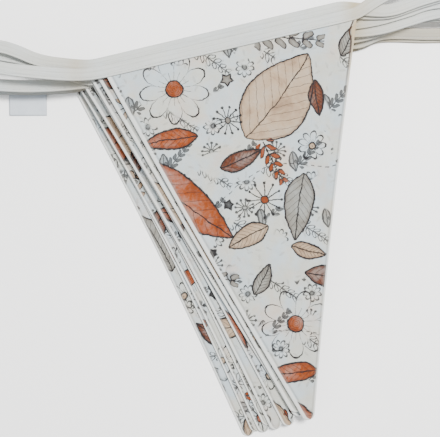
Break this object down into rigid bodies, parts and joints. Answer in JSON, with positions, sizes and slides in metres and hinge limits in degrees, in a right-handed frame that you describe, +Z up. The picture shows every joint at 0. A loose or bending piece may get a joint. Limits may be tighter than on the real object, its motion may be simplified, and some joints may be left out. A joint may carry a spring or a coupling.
{
  "type": "fabric bunting",
  "caption": "Triangular cloth pennants on one continuous binding tape, folded up into a flat fanned stack with the tape looped at both sides and a small tab label.",
  "frame": {"origin": "on the flat underside of the lowest pennant, under the middle of the stack", "axes": "+Z up from the surface it lies on, +Y towards the tape along the pennants' tops, -Y towards their tips, +X to the right seen from above"},
  "size_m": [0.4703, 0.3516, 0.0333],
  "materials": {
    "cotton_print": "matte printed cotton",
    "binding_cotton": "matte white cotton twill",
    "label_ribbon": "soft white ribbon"
  },
  "bodies": {
    "root": {"flag_1": "cotton_print", "flag_2": "cotton_print", "flag_3": "cotton_print", "flag_4": "cotton_print", "flag_5": "cotton_print", "flag_6": "cotton_print", "flag_7": "cotton_print", "flag_8": "cotton_print", "flag_9": "cotton_print", "binding_tape": "binding_cotton", "label": "label_ribbon"}
  },
  "joints": []
}
